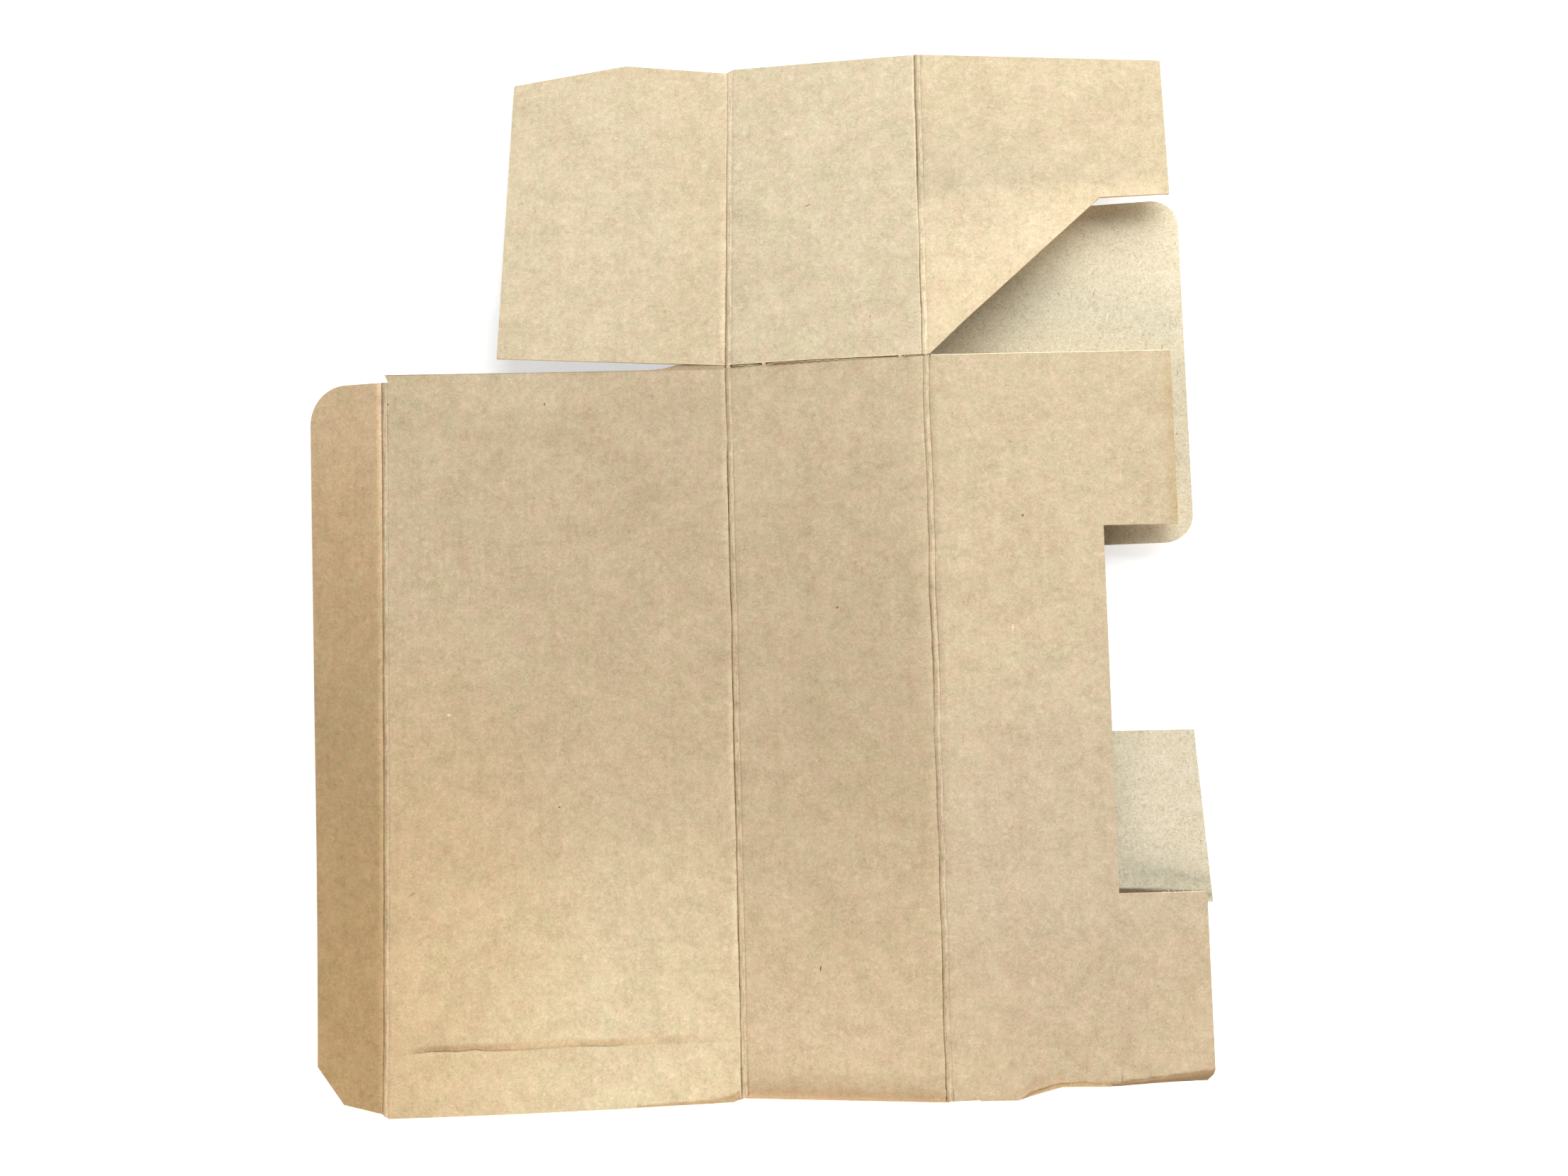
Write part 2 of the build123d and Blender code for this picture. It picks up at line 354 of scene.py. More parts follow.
grey = {
    "rough": 0.88,
    "dark": rgb(146, 130, 104),
    "middle": rgb(224, 210, 182),
    "light": rgb(255, 250, 234),
    "mottles": ((6 * mm, 0.12), (2 * mm, 0.24), (0.8 * mm, 0.36), (0.4 * mm, 0.5)),
    "mottling": {"detail": 1.0, "rough": 0.8, "twist": 0.5},
    "grain": {"size": 0.5 * mm, "detail": 3.0, "rough": 0.7},
    "bump": (0.3, 0.06 * mm),
    "bitHeight": 0.6,
    "bitRim": (0.08, 0.2),                          # where a bit fades out, in sizes
    "ragged": 0.6,                                  # how far its outline wavers, in sizes
    "through": 0.01,                                # its cells run on through the board
    "shareBlur": 0.01,
    # what is pulped into it: size, slant in radians, share of the cells that hold one, how slender, colour
    "bits": (
        (0.9 * mm, 0.4, 0.12, 0.6, rgb(250, 243, 224)),
        (0.8 * mm, 1.3, 0.035, 0.6, rgb(128, 110, 84)),
        (1.1 * mm, 2.2, 0.05, 0.2, rgb(190, 166, 128)),
        (1.3 * mm, 0.9, 0.05, 0.2, rgb(250, 242, 222)),
    ),
}


def greyPaper():
    made, shader, place = finish("grey_paper", grey["rough"])
    base = mottled(place, grey).toned(grey["dark"], grey["middle"], grey["light"])
    bits = 0.0
    for size, slant, share, slender, tint in grey["bits"]:
        warped = place.add("ShaderNodeVectorMath", {"operation": "ADD"},
                           {0: place, 1: place.clouds(size, 0.0) * (grey["ragged"] * size)})
        spot = warped.moved((size, 0, 0), (1, slender, grey["through"]), (0, 0, slant))
        cells = {"Vector": spot, "Scale": 1 / size, "Randomness": 1.0}
        near = place.add("ShaderNodeTexVoronoi", {}, cells, "Distance")
        pick = place.add("ShaderNodeTexVoronoi", {}, cells, "Color")
        chance = place.add("ShaderNodeSeparateColor", {}, {"Color": pick}, 0)
        chosen = 1 - chance.limited(share, share + grey["shareBlur"])
        mask = (1 - near.limited(*grey["bitRim"])) * chosen
        base = mask.mixed(base, tint)
        bits = mask + bits
    wired(shader, "Base Color", base.withShadeAndTone())
    relief = place.clouds(**grey["grain"]) + bits * grey["bitHeight"]
    wired(shader, "Normal", relief.bump(*grey["bump"]))
    return made


cut = {
    # depths and heights are shares of the board's thickness
    "rough": 0.92,
    "liner": rgb(218, 198, 164),
    "flute": rgb(206, 184, 148),
    "gapShade": rgb(138, 114, 82),
    "linerDepth": 0.2,
    "linerBlur": 0.05,
    "fluteHeight": 0.5,
    "fluteDepth": (0.07, 0.2),                      # off its middle: paper up to here, gap from here
    "pitch": 2.4 * mm,
    "twist": 0.6,
    "rubs": {"size": 0.9 * mm, "detail": 2.0, "rough": 0.7},
    "rubbed": 0.2,
}


def cutBoard():
    # two liners and the waved paper between them, half crushed by the die, with painted shade in the gaps
    # between the waves
    made, shader, place = finish("cut_edge", cut["rough"])
    rub = (place.clouds(**cut["rubs"]) - 0.5) * cut["rubbed"]
    wave = (place.bands(cut["pitch"], cut["twist"]) - 0.5) * cut["fluteHeight"]
    depth = place.carried("through") + rub - 0.5
    core = (depth - wave).positive().limited(*cut["fluteDepth"]).mixed(cut["flute"], cut["gapShade"])
    inside = 0.5 - cut["linerDepth"]
    liner = depth.positive().limited(inside, inside + cut["linerBlur"])
    wired(shader, "Base Color", liner.mixed(core, cut["liner"]).withShadeAndTone())
    return made


# Places on the sheet, in mm from where the main crease meets the bottom fold

layout = {
    "zero": (-1.32, -143.22, 0.07),
    "wallTop": 198.2,
    "foldStart": 2.9,
    "foldSides": (1.1, 53.3),
    "foldMiddle": 4.5,                              # how high the middle of its half turn lies
    "innerStart": 0.5,
    "innerEnd": 242.8,
    "innerHinge": 54.35,
    "innerHeight": 1.5,                             # the strip lies below this, and its flaps rise from there
    "innerRise": 0.0612,
    "flapLeft": 56.35,                              # right of this, it starts only so far up
    "flapFoot": 40.0,
}


def fromZero(point):
    return point / mm - Vector(layout["zero"])


def clamped(value):
    return min(1, max(0, value))


def between(value, stops, heights):
    # straight lines through the given heights
    if value <= stops[0]:
        return heights[0]
    for low, high, first, last in zip(stops, stops[1:], heights, heights[1:]):
        if value <= high:
            return first + (last - first) * (value - low) / (high - low)
    return heights[-1]


def onPath(value, path):
    # how high a path of (across, up) places runs here
    return between(value, *zip(*path))


def waves(x, y, layers, number=0):
    # smooth uneven waves: height, size and seed of each layer
    total = 0.0
    for height, size, seed in layers:
        total += height * noise.noise(Vector((x / size, y / size, number + seed)))
    return total


def isInner(place):
    # on the strip under the walls, with its flaps
    if place.x < layout["innerStart"] or place.y > layout["innerEnd"]:
        return False
    if place.x > layout["flapLeft"] and place.y < layout["flapFoot"]:
        return False
    return place.z < layout["innerHeight"] + max(0, place.x - layout["innerHinge"]) * layout["innerRise"]


def isFold(place):
    left, right = layout["foldSides"]
    return place.y < layout["foldStart"] and left < place.x < right


# Painted light and shade, with some of the paper's own tone: where the sheet is darker, lighter or warmer:
# the panel that it stays within, its middle, its reach and the share of red, green and blue. Where only one
# layer takes it, "inner" says whether that is the inner strip

shadeAndToneAreas = (
    # painted shade on the tuck strip, darker and warmer towards its foot
    {"within": ((-130, -100.6), (-10, 210)), "at": (-112, 20), "reach": (60, 190),
     "share": (0.83, 0.725, 0.56)},
    {"within": ((-130, -100.6), (-10, 210)), "at": (-112, 185), "reach": (60, 75),
     "share": (1.13, 1.06, 1.02)},
    {"within": ((-100.5, 0), (-10, 198)), "at": (-25, 10), "reach": (80, 75), "share": (1.12, 1.17, 1.17)},
    {"within": ((-100.5, -40), (-10, 150)), "at": (-102, 35), "reach": (65, 100),
     "share": (0.98, 0.92, 0.84)},
    {"within": ((0, 54), (-10, 198)), "at": (27, 100), "reach": (60, 80), "share": (0.9, 0.89, 0.88)},
    {"within": ((54, 130), (-10, 60)), "at": (95, -10), "reach": (70, 70), "share": (0.93, 0.93, 0.93)},
    {"within": ((54, 130), (238, 290)), "at": (95, 280), "reach": (90, 90), "share": (0.96, 0.96, 0.95)},
    # painted shade where the bottom fold turns away from the light
    {"within": ((0.8, 54.3), (-5, 6)), "at": (32, -3), "reach": (110, 9), "share": (0.74, 0.7, 0.64)},
    # painted light on the grey flap under the lid, and on the lid there
    {"within": ((54, 130), (199, 244)), "at": (95, 225), "reach": (80, 60), "share": (1.2, 1.19, 1.18)},
    # the lid's tab casts this painted shadow on the grey flap
    {"within": ((90, 127), (50, 54)), "at": (95, 51.2), "reach": (33, 2.0), "share": (0.3, 0.25, 0.2),
     "inner": True, "crisp": 3},
    {"within": ((100, 130), (140, 200)), "at": (121.5, 165), "reach": (3, 60), "share": (0.9, 0.84, 0.74),
     "inner": False},
    {"within": ((54, 130), (40, 120)), "at": (115, 70), "reach": (80, 80), "share": (1.0, 1.02, 1.05)},
    {"within": ((54, 130), (-10, 130)), "at": (82, 55), "reach": (60, 60), "share": (0.925, 0.92, 0.95),
     "inner": False},
    {"within": ((-100.5, 0), (50, 198)), "at": (-45, 115), "reach": (90, 70), "share": (0.955, 0.945, 0.94)},
    {"within": ((-60, 0), (120, 198)), "at": (-10, 182), "reach": (45, 50), "share": (0.95, 0.945, 0.95)},
    {"within": ((-80, 0), (199, 290)), "at": (-55, 245), "reach": (45, 90), "share": (1.05, 1.07, 1.1)},
    {"within": ((0.5, 54.8), (199, 290)), "at": (27, 245), "reach": (80, 120), "share": (1.02, 1.05, 1.08)},
    {"within": ((54.5, 130), (199, 275)), "at": (69, 242), "reach": (32, 26), "share": (0.92, 0.93, 0.95),
     "inner": False},
)


def paintedShadeAndTone(place):
    # painted light and shade, with some of the paper's own tone, as shares of red, green and blue
    inner = isInner(place)
    shares = [1.0, 1.0, 1.0]
    for area in shadeAndToneAreas:
        (left, right), (low, high) = area["within"]
        if area.get("inner", inner) == inner and left <= place.x <= right and low <= place.y <= high:
            (x, y), (wide, tall) = area["at"], area["reach"]
            weight = max(0, 1 - ((place.x - x) / wide) ** 2 - ((place.y - y) / tall) ** 2)
            weight = min(1, weight * area.get("crisp", 1))
            shares = [share * (1 + (aim - 1) * weight) for share, aim in zip(shares, area["share"])]
    return shares


# Creases: two pressed lines with a crown between them

crease = {
    # each crease: where it crosses X at its foot and its top, its reach on Y, how deep its left and right
    # line are at the foot and at the top, how far it strays to the side and how far its crown is flattened
    "lines": (
        {"x": (-99.97, -99.97), "y": (-9.0, 203.0), "left": (0.24, 0.24), "right": (0.05, 0.03),
         "stray": 0.10, "flat": 0.0},
        {"x": (0.0, 0.0), "y": (-4.0, 198.3), "left": (0.4, 0.34), "right": (0.1, 0.06),
         "stray": 0.16, "flat": 0.03},
        {"x": (54.35, 54.35), "y": (-4.0, 198.3), "left": (0.36, 0.13), "right": (0.08, 0.2),
         "stray": 0.30, "flat": 0.06},
        {"x": (0.0, 0.96), "y": (198.4, 290.0), "left": (0.26, 0.16), "right": (0.05, 0.06),
         "stray": 0.12, "flat": 0.05},
        {"x": (54.35, 55.31), "y": (198.4, 290.0), "left": (0.36, 0.26), "right": (0.08, 0.06),
         "stray": 0.14, "flat": 0.06},
    ),
    "half": 1.2,
    "slack": 0.01,
    "reach": 3.6,                                   # how far from its middle it still drags the paper along
    "solidDepth": 0.25,
    # across it: the solid's own lines, where they go, how far each is in the left and in the right line, how
    # dark its painted shade, with some dirt, is and how far up the crown it lies
    "across": (-1.2, -0.84, -0.6, 0.0, 0.6, 0.84, 1.2),
    "moved": (-1.0, -0.86, -0.56, 0.0, 0.6, 0.8, 1.1),
    "left": (0.0, 1.0, 0.0, 0.0, 0.0, 0.0, 0.0),
    "right": (0.0, 0.0, 0.0, 0.0, 0.0, 1.0, 0.0),
    "pressed": (0.0, 1.0, 0.25, 0.0, 0.0, 1.0, 0.0),
    "crown": (0.0, 0.0, 0.4, 1.0, 0.8, 0.2, 0.0),
    "leftLine": -0.8,                               # its left line lies beyond this
    "patches": ((0.7, 16, 2.5), (0.3, 3, 7.5)),     # waves of its depth
    "strays": ((1.0, 13, 5.5), (0.5, 4, 9.5)),      # and of its course
    "cut": 1.0 * mm,
}


def nearCrease(place):
    # the crease that a point of the upper layer lies beside, and how far off it is
    for number, line in enumerate(crease["lines"]):
        (footX, topX), (footY, topY) = line["x"], line["y"]
        if footY <= place.y <= topY:
            off = place.x - (footX + (topX - footX) * (place.y - footY) / (topY - footY))
            if abs(off) < crease["reach"]:
                return number, off
    return None, 0.0


def onCrease(place):
    number, off = nearCrease(place)
    return number is not None and abs(off) < crease["half"] and not isInner(place)


def bendCrease(place):
    # how far a point beside a crease moves, how dark the painted shade, with some dirt, of a line is there,
    # and how far up the crown it lies
    number, off = nearCrease(place)
    if number is None:
        return Vector(), 0.0, 0.0
    line = crease["lines"][number]
    low, high = line["y"]
    fade = clamped((crease["reach"] - abs(off)) / (crease["reach"] - crease["half"]))
    moved = Vector((waves(0, place.y, crease["strays"], number) * line["stray"] * fade, 0, 0))
    if abs(off) >= crease["half"] - crease["slack"]:
        return moved, 0.0, 0.0
    moved.x += between(off, crease["across"], crease["moved"]) - off
    patchy = 1 + waves(0, place.y, crease["patches"], number)
    pressed = 0.0
    for side in ("left", "right"):
        (foot, top), here = line[side], between(off, crease["across"], crease[side])
        deep = (foot + (top - foot) * clamped((place.y - low) / (high - low))) * patchy
        moved.z += (crease["solidDepth"] - deep) * here
        pressed += deep / crease["solidDepth"] * here
    crown = between(off, crease["across"], crease["crown"])
    moved.z -= line["flat"] * crown
    if off > crease["leftLine"]:
        pressed *= between(off, crease["across"], crease["pressed"])
    return moved, pressed, crown


# The wrinkle across the foot of the wide wall

wrinkle = {
    "solid": ((-100.0, 9.3), (0.0, 14.0)),                  # the solid's straight line
    "path": ((-100.0, 9.4), (-91.3, 11.0), (-83.0, 11.5), (-69.0, 11.4), (-55.0, 12.1), (-41.5, 13.2),
             (-36.0, 13.0), (-20.0, 13.9), (0.0, 14.6)),
    "strays": ((0.35, 6, 3.5), (0.2, 2, 4.5)),
    "sides": (-101.5, 1.5),
    "middle": 12.0,
    "half": 9.0,                                            # it touches nothing further from its middle
    "finer": 6.0,                                           # and is cut finer this close to it
    "reach": 5.0,
    # across it, from above to below: how far off the line, how high, how dark its painted shade is, and below
    # 0 a painted highlight
    "across": (-2.4, -1.0, -0.35, 0.0, 0.25, 1.2, 2.6),
    "height": (0.0, 0.06, 0.12, -0.06, 0.06, 0.06, 0.0),
    "shade": (0.0, -0.1, -0.3, 1.3, 0.9, 0.8, 0.0),
    # along it: how strong it is
    "strength": ((-98.0, 0.1), (-93.0, 0.3), (-90.0, 1.0), (-68.0, 0.9), (-62.0, 0.45), (-48.0, 0.35),
                 (-42.0, 0.8), (-36.0, 0.7), (-30.0, 0.25), (0.0, 0.1)),
    "cut": 1.4 * mm,
}


def inWrinkle(place, half=wrinkle["half"]):
    left, right = wrinkle["sides"]
    return left < place.x < right and abs(place.y - wrinkle["middle"]) < half and not isInner(place)


def bendWrinkle(place):
    # how far a point beside the wrinkle moves, and how dark its painted shade is
    (left, low), (right, high) = wrinkle["solid"]
    plain = low + (high - low) * (place.x - left) / (right - left)
    bent = onPath(place.x, wrinkle["path"]) + waves(place.x, 0, wrinkle["strays"])
    down = plain - place.y
    strength = onPath(place.x, wrinkle["strength"])
    shift = (bent - plain) * max(0, 1 - abs(down) / wrinkle["reach"])
    height = between(-down, wrinkle["across"], wrinkle["height"]) * strength
    shade = between(-down, wrinkle["across"], wrinkle["shade"]) * strength
    return Vector((0, shift, height)), shade


# Lower margins that are crushed and bent down, with painted shade and highlight along them

lip = {
    # each one: the line where it bends, how steeply, and at some distances down from that line, its painted
    # shade and highlight, with some of the crushed board's own colour, as shares of red, green and blue
    "lines": (
        {"path": ((72.0, -0.6), (75.5, 1.8), (82.2, 3.9), (88.1, 4.2), (97.0, 3.8)), "slope": 0.3,
         "down": (0.0, 0.35, 1.0, 1.3, 2.5), "red": (1.05, 0.62, 0.72, 1.1, 1.12),
         "green": (1.05, 0.57, 0.67, 1.08, 1.1), "blue": (1.04, 0.5, 0.6, 0.92, 0.95)},
        {"path": ((97.0, 3.8), (101.5, 4.6), (111.9, 5.4), (125.5, 6.7)), "slope": 0.45,
         "down": (-0.5, 0.0, 0.4, 1.6, 2.5), "red": (1.0, 1.07, 0.68, 0.6, 0.46),
         "green": (1.0, 1.07, 0.63, 0.55, 0.42), "blue": (1.0, 1.06, 0.56, 0.48, 0.38)},
        {"path": ((-29.5, -2.2), (-17.0, -1.4), (-9.8, -0.9), (-2.4, 0.9), (-1.2, 2.0)), "slope": 0.3,
         "down": (0.0, 0.5, 2.0), "red": (1.05, 0.74, 0.72), "green": (1.05, 0.68, 0.66),
         "blue": (1.04, 0.6, 0.58)},
    ),
    "strays": ((0.25, 3, 8.5),),
    "top": 9.0,                                     # none reaches up to here
    "above": 0.5,                                   # its tones start this far above its line
    "around": 1.0,                                  # and it is cut finer this far around it
    "cut": 0.5 * mm,
}


def atLip(place):
    # on a crushed margin or close to it
    if place.y > lip["top"] or isInner(place) or isFold(place):
        return False
    around = lip["around"]
    for line in lip["lines"]:
        first, last = line["path"][0][0], line["path"][-1][0]
        if first - around < place.x < last + around and place.y < onPath(place.x, line["path"]) + around:
            return True
    return False


def bendLip(place):
    # how far a point on a crushed margin moves, and its painted shade and highlight
    for line in lip["lines"]:
        if line["path"][0][0] <= place.x <= line["path"][-1][0]:
            down = onPath(place.x, line["path"]) + waves(place.x, 0, lip["strays"]) - place.y
            if down > -lip["above"]:
                shares = [between(down, line["down"], line[part]) for part in ("red", "green", "blue")]
                return Vector((0, 0, -max(0, down) * line["slope"])), shares
    return Vector(), (1.0, 1.0, 1.0)


# The board's edges at the perforation, with painted highlights and shade along them

margin = {
    # each one: where it runs, the side that its board lies on, how wide the strip of painted highlight or
    # shade along it is and that share, how far the edge is pulled out at places along X, and for its lower
    # side how much more, how far it is lifted and its share of that painted shade
    "lines": (
        # painted shadow of the lid along the wide wall's top edge
        {"line": ((-99.0, 201.07), (-1.2, 197.74)), "side": -1, "wide": 0.22, "share": (0.8, 0.76, 0.7),
         "out": ((-20.0, 0.0), (-14.0, 1.42), (-1.2, 0.86)), "under": ((0.0, 0.0),), "lift": 0.0,
         "underShare": 0.7},
        # painted shade on the wall's edge down in the perforation
        {"line": ((-0.6, 197.69), (54.6, 197.69)), "side": -1, "wide": 0.12, "share": (0.86, 0.84, 0.8),
         "out": ((0.0, 0.0),), "under": ((-0.6, 0.66), (20.0, 0.66), (54.0, 0.28)), "lift": 0.52,
         "underShare": 0.72},
        # painted highlight on the lid's lower cut edge
        {"line": ((1.2, 198.64), (54.3, 198.64)), "side": 1, "wide": 0.3, "share": (1.12, 1.12, 1.13),
         "out": ((0.0, 0.0),), "under": ((0.0, 0.0),), "lift": 0.0, "underShare": 0.9},
        # painted highlight along the narrow wall's top edge
        {"line": ((55.6, 198.29), (120.8, 198.29)), "side": -1, "wide": 0.35, "share": (1.16, 1.18, 1.22),
         "out": ((0.0, 0.0),), "under": ((0.0, 0.0),), "lift": 0.0, "underShare": 0.9},
    ),
    "past": 0.1,                                    # it goes on this far past its ends
    "edge": (-0.05, 0.03),                          # a corner this far inside its line is on the edge itself
    "slack": 0.02,
    "fade": 0.12,                                   # its tone fades out over this much
    "cut": (0.04, 4.0),                             # faces that lie this far inside are cut beside it
}


def insideMargin(place, line):
    # how far inside an edge a point lies, or nothing beyond its ends
    (left, low), (right, high) = line["line"]
    if not left - margin["past"] <= place.x <= right + margin["past"] or isInner(place):
        return None
    return (place.y - low - (high - low) * (place.x - left) / (right - left)) * line["side"]


def besideMargin(place, line):
    least, most = margin["cut"]
    return least < (insideMargin(place, line) or 0) < most


def bendMargin(place, upper):
    # how far a point on such an edge moves, and its painted highlight or shade
    outside, edge = margin["edge"]
    for line in margin["lines"]:
        inside = insideMargin(place, line)
        if inside is not None and outside < inside < line["wide"] + margin["slack"]:
            if inside > edge:
                return Vector(), line["share"]
            moved = Vector((0, onPath(place.x, line["out"]), 0))
            if upper:
                return moved, line["share"]
            moved += Vector((0, onPath(place.x, line["under"]), line["lift"]))
            return moved, [share * line["underShare"] for share in line["share"]]
    return Vector(), (1.0, 1.0, 1.0)


# The sheet itself, cut finer than the solid so that it can take creases, waves and wrinkles

sheet = {
    "square": 4.0 * mm,
    "span": 0.2,                                    # metres from the middle that the cuts cover
    "doubles": 1e-6,
    "onCut": 1e-7,
    "cockle": ((0.16, 45.0, 0.0),),
    "slotClosed": 0.55,                             # how much narrower the perforation is at its right end
    "slotFrom": 20.0,                               # it starts to narrow here, and has narrowed
    "slotOver": 34.0,                               # over this length
    "slotReach": 9.0,                               # the lid is moved up to this far from the perforation
    "underSlot": 2.4,                               # how much further left the strip reaches below that slot
    "underEdge": 1.7,                               # what lies left of this is its edge,
    "underReach": 8.0,                              # and this far up and down from the slot it is moved
    # the bottom fold's ends reach under the creases beside it: where each starts, how far it is moved, and
    # how much further where it lies lower than some height, reached over the length in foldOver
    "foldLeft": {"at": 2.5, "least": 0.3, "more": 1.2, "below": 8.6},
    "foldRight": {"at": 52.0, "least": 0.3, "more": 0.8, "below": 12.0},
    "foldOver": 3.0,
    "tabShadow": (90.0, 50.0, 54.5),                # its left end, and its reach on Y
    "edgeAngle": 50.0,                              # degrees, where an edge stays sharp
    "side": 0.3,                                    # what looks up or down less than this is a cut edge
    "end": 0.5,                                     # and on the fold, what looks sideways more than this
}


def withCorners(faces):
    parts = set(faces)
    for face in faces:
        parts.update(face.edges)
        parts.update(face.verts)
    return list(parts)


def cutAcross(body, faces, axis, low, high, step):
    # cuts between two planes by halving, so that each cut reads only what lies around it
    if high - low < 2 or not faces:
        return
    middle = (low + high) // 2
    place, normal = Vector(), Vector()
    place[axis] = middle * step
    normal[axis] = 1
    result = bmesh.ops.bisect_plane(body, geom=withCorners(faces), dist=sheet["onCut"], plane_co=place,
                                    plane_no=normal)
    sides = {True: [], False: []}
    for item in result["geom"]:
        if isinstance(item, bmesh.types.BMFace):
            sides[item.calc_center_median()[axis] < place[axis]].append(item)
    cutAcross(body, sides[True], axis, low, middle, step)
    cutAcross(body, sides[False], axis, middle, high, step)


def facesWhere(body, chosen):
    # the faces whose middle, in mm from zero, is chosen
    return [face for face in body.faces if chosen(fromZero(face.calc_center_median()))]


def cutFiner(body, chosen, steps):
    # a finer grid on some faces
    for axis, step in enumerate(steps):
        if step:
            reach = math.ceil(sheet["span"] / step)
            cutAcross(body, facesWhere(body, chosen), axis, -reach, reach, step)


def cutBeside(body, chosen, line, offsets):
    # loops beside a straight line, given by two places from zero
    (left, low), (right, high) = line
    normal = Vector((low - high, right - left, 0)).normalized()
    for offset in offsets:
        place = (Vector((left, low, 0)) + normal * offset + Vector(layout["zero"])) * mm
        bmesh.ops.bisect_plane(body, geom=withCorners(facesWhere(body, chosen)), dist=sheet["onCut"],
                               plane_co=place, plane_no=normal)


def inTabShadow(place):
    left, low, high = sheet["tabShadow"]
    return isInner(place) and place.x > left and low < place.y < high


def reachOut(place, end):
    return end["least"] + end["more"] * clamped((end["below"] - place.z) / sheet["foldOver"])


def closeFold(place):
    # how far an end of the bottom fold moves
    if place.x < sheet["foldLeft"]["at"]:
        return Vector((-reachOut(place, sheet["foldLeft"]), 0, 0))
    if place.x > sheet["foldRight"]["at"]:
        return Vector((reachOut(place, sheet["foldRight"]), 0, 0))
    return Vector()


def reachUnder(place):
    # how far the inner strip's edge below the slot moves
    if place.x < sheet["underEdge"] and abs(place.y - layout["wallTop"]) < sheet["underReach"]:
        return Vector((-sheet["underSlot"], 0, 0))
    return Vector()


def closeSlot(place):
    # how far the lid comes down towards the walls
    above = place.y - layout["wallTop"]
    if above <= 0:
        return 0.0
    closed = clamped((place.x - sheet["slotFrom"]) / sheet["slotOver"])
    return sheet["slotClosed"] * closed * max(0, 1 - above / sheet["slotReach"])


def bendUpper(place, upper):
    # how far a point of the walls or the lid moves, how dark its painted shade in a crease or the wrinkle is
    # and how far up its crown it lies, and its painted light and shade at a crushed or cut edge
    shift = Vector((0, -closeSlot(place), waves(place.x, place.y, sheet["cockle"])))
    moved, pressed, crown = bendCrease(place)
    shift += moved
    if inWrinkle(place):
        moved, shade = bendWrinkle(place)
        shift += moved
        if upper:
            pressed += shade
    moved, shares = bendLip(place) if place.y < lip["top"] else bendMargin(place, upper)
    return shift + moved, pressed, crown, shares


def shapeSheet(body):
    # moves each corner off the plain folded form, marks its place in the creases and in the board, and gives
    # it its painted light and shade with the paper's own tone
    pressed, crown, through = [body.verts.layers.float.new(name) for name in ("pressed", "crown", "through")]
    # each corner's painted light and shade, with the paper's own tone
    tint = body.verts.layers.float_color.new("tint")
    for vertex in body.verts:
        upper = max((face.normal.z for face in vertex.link_faces), key=abs) > 0
        vertex[through] = 1.0 if upper else 0.0
        place = fromZero(vertex.co)
        shares = paintedShadeAndTone(place)
        if isFold(place):
            shift = closeFold(place)
        elif isInner(place):
            shift = reachUnder(place)
        else:
            shift, vertex[pressed], vertex[crown], edgeShadeAndTone = bendUpper(place, upper)
            shares = [share * part for share, part in zip(shares, edgeShadeAndTone)]
        vertex[tint] = (*shares, 1)
        vertex.co += shift * mm


def paintSheet(body):
    # 0 is the brown paper, 1 the grey one and 2 the cut edge
    for face in body.faces:
        place = fromZero(face.calc_center_median())
        if isFold(place) and abs(face.normal.x) < sheet["end"]:
            outward = Vector((0, place.y - layout["foldStart"], place.z - layout["foldMiddle"]))
            face.material_index = 0 if face.normal.dot(outward) > 0 else 1
        elif abs(face.normal.z) < sheet["side"]:
            face.material_index = 2
        else:
            face.material_index = 0 if (face.normal.z > 0) != isInner(place) else 1
        face.smooth = True
    for side in body.edges:
        side.smooth = side.calc_face_angle(0) < math.radians(sheet["edgeAngle"])


def makeSheet():
    body = bmesh.new()
    body.from_mesh(cadSheet.data)
    bmesh.ops.remove_doubles(body, verts=body.verts, dist=sheet["doubles"])
    cutFiner(body, lambda place: True, (sheet["square"], sheet["square"]))
    cutFiner(body, onCrease, (None, crease["cut"]))
    cutBeside(body, inWrinkle, wrinkle["solid"], wrinkle["across"])
    cutFiner(body, lambda place: inWrinkle(place, wrinkle["finer"]), (wrinkle["cut"],))
    cutFiner(body, atLip, (lip["cut"], lip["cut"]))
    cutFiner(body, inTabShadow, (None, lip["cut"]))
    for line in margin["lines"]:
        wide, side = line["wide"], line["side"]
        cutBeside(body, lambda place: besideMargin(place, line), line["line"],
                  (side * (wide + margin["fade"]), side * wide))
    body.normal_update()
    paintSheet(body)
    shapeSheet(body)
    mesh = bpy.data.meshes.new("box_blank")
    body.to_mesh(mesh)
    body.free()
    for made in (brownPaper(), greyPaper(), cutBoard()):
        mesh.materials.append(made)
    blank = bpy.data.objects.new("box_blank", mesh)
    bpy.context.scene.collection.objects.link(blank)
    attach(blank, "root")
    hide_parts("folded_blank")
    print("sheet made,", sum(len(face.vertices) - 2 for face in mesh.polygons), "triangles")


makeSheet()


# Paper fibres that stand out where the board is torn

tears = {
    # from where to where, in mm from zero
    "lines": (
        ((112.0, 52.1, 6.5), (124.0, 52.0, 5.6)),
        ((9.0, 198.3, 9.6), (11.4, 198.4, 9.6)),
        ((46.4, 198.3, 12.2), (48.8, 198.4, 12.2)),
        ((86.0, 3.0, 8.0), (96.0, 2.6, 7.0)),
    ),
    "each": 12,                                     # fibres on each line
    "long": 1.5 * mm,
    "thick": 0.07 * mm,
    "scatter": ((-1, -0.2, -0.1), (1, 0.2, 0.2)),   # how far off the line they stand, in half lengths
    "bend": (0.1, 0.6, 0.25),                       # where a fibre bends and ends, in lengths
    "tip": (0.5, 1.0, 0.15),
    "turn": ((-0.3, -0.3, -1.3), (0.4, 0.3, 1.3)),  # radians
    "sizes": (0.4, 1.2),
    "steps": 6,                                     # along a fibre and around it
    "sides": 5,
    "seed": 4,
    "paper": rgb(240, 226, 196),
    "rough": 0.9,
}


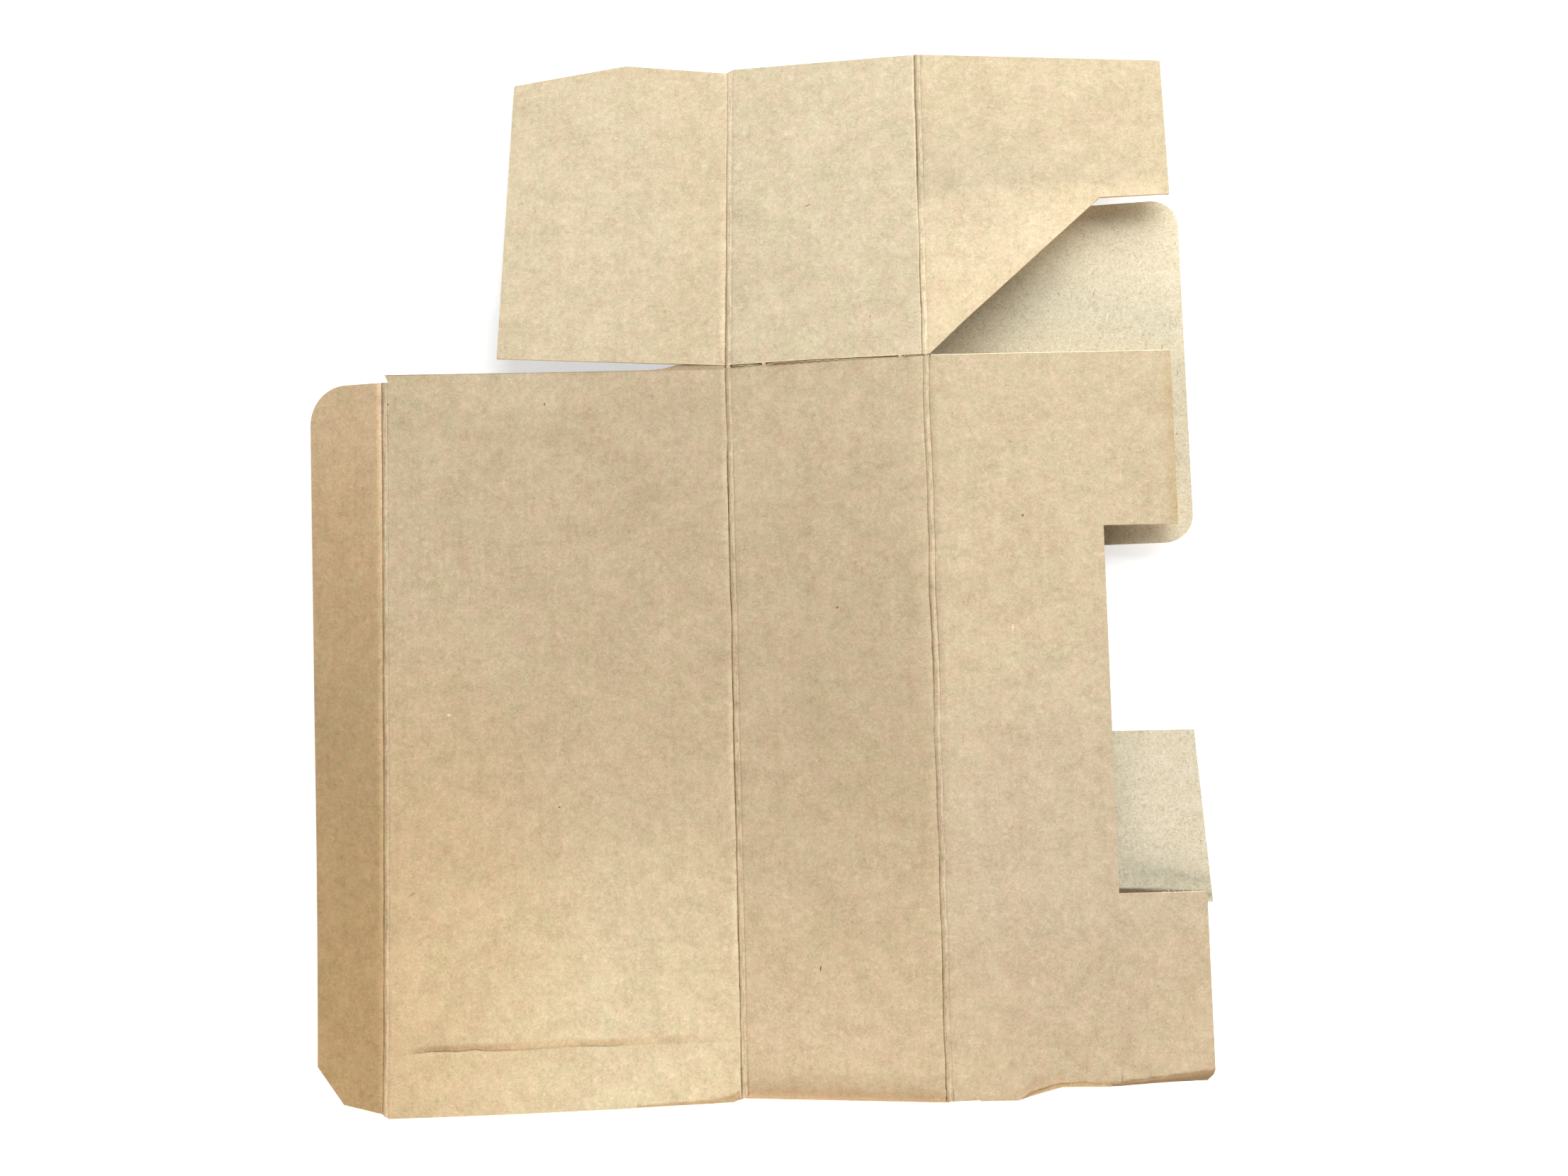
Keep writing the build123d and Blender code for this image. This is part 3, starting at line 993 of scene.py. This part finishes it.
def fibreTree():
    tree = bpy.data.node_groups.new("torn_fibres", "GeometryNodeTree")
    for name, kind in (("Lines", "Geometry"), ("Each", "Int"), ("Long", "Float"), ("Thick", "Float"),
                       ("Seed", "Int"), ("Paper", "Material")):
        tree.interface.new_socket(name, in_out="INPUT", socket_type="NodeSocket" + kind)
    tree.interface.new_socket("Fibres", in_out="OUTPUT", socket_type="NodeSocketGeometry")
    given = tree.nodes.new("NodeGroupInput")
    lines, each, long, thick, seed, paper = [Wire(tree, socket) for socket in given.outputs[:6]]
    curve = lines.add("GeometryNodeMeshToCurve", {}, {"Mesh": lines})
    points = lines.add("GeometryNodeCurveToPoints", {}, {"Curve": curve, "Count": each})
    least, most = tears["scatter"]
    scatter = lines.add("FunctionNodeRandomValue", {"data_type": "FLOAT_VECTOR"},
                        {0: least, 1: most, "Seed": seed})
    spread = lines.add("ShaderNodeVectorMath", {"operation": "SCALE"}, {0: scatter, "Scale": long * 0.5})
    points = lines.add("GeometryNodeSetPosition", {}, {"Geometry": points, "Offset": spread})
    fibre = lines.add("GeometryNodeCurveQuadraticBezier", {},
                      {"Resolution": tears["steps"], "Start": (0, 0, 0), "Middle": long.along(tears["bend"]),
                       "End": long.along(tears["tip"])})
    least, most = tears["turn"]
    turn = lines.add("FunctionNodeRandomValue", {"data_type": "FLOAT_VECTOR"},
                     {0: least, 1: most, "Seed": seed + 1})
    least, most = tears["sizes"]
    size = lines.add("FunctionNodeRandomValue", {"data_type": "FLOAT"},
                     {2: least, 3: most, "Seed": seed + 2}, 1)
    placed = lines.add("GeometryNodeInstanceOnPoints", {},
                       {"Points": points, "Instance": fibre, "Rotation": turn, "Scale": size})
    real = lines.add("GeometryNodeRealizeInstances", {}, {"Geometry": placed})
    ring = lines.add("GeometryNodeCurvePrimitiveCircle", {}, {"Resolution": tears["sides"], "Radius": thick})
    solid = lines.add("GeometryNodeCurveToMesh", {},
                      {"Curve": real, "Profile Curve": ring, "Fill Caps": True})
    dressed = lines.add("GeometryNodeSetMaterial", {}, {"Geometry": solid, "Material": paper})
    wired(tree.nodes.new("NodeGroupOutput"), "Fibres", dressed)
    return tree


def makeFibres():
    # the tree's result is kept as a plain mesh
    made, shader = finish("torn_paper", tears["rough"])[:2]
    shader.inputs["Base Color"].default_value = tears["paper"]
    corners, edges = [], []
    for line in tears["lines"]:
        edges.append((len(corners), len(corners) + 1))
        corners += [(Vector(point) + Vector(layout["zero"])) * mm for point in line]
    mesh = bpy.data.meshes.new("torn_lines")
    mesh.from_pydata(corners, edges, [])
    holder = bpy.data.objects.new("torn_lines", mesh)
    bpy.context.scene.collection.objects.link(holder)
    modifier = holder.modifiers.new("fibres", "NODES")
    modifier.node_group = fibreTree()
    values = {"Each": tears["each"], "Long": tears["long"], "Thick": tears["thick"], "Seed": tears["seed"],
              "Paper": made}
    for item in modifier.node_group.interface.items_tree:
        if item.name in values:
            modifier[item.identifier] = values[item.name]
    holder.update_tag()
    ready = holder.evaluated_get(bpy.context.evaluated_depsgraph_get())
    fibres = bpy.data.objects.new("torn_fibres", bpy.data.meshes.new_from_object(ready))
    bpy.data.objects.remove(holder)
    bpy.context.scene.collection.objects.link(fibres)
    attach(fibres, "root")
    print("fibres made,", len(fibres.data.polygons), "faces")


makeFibres()
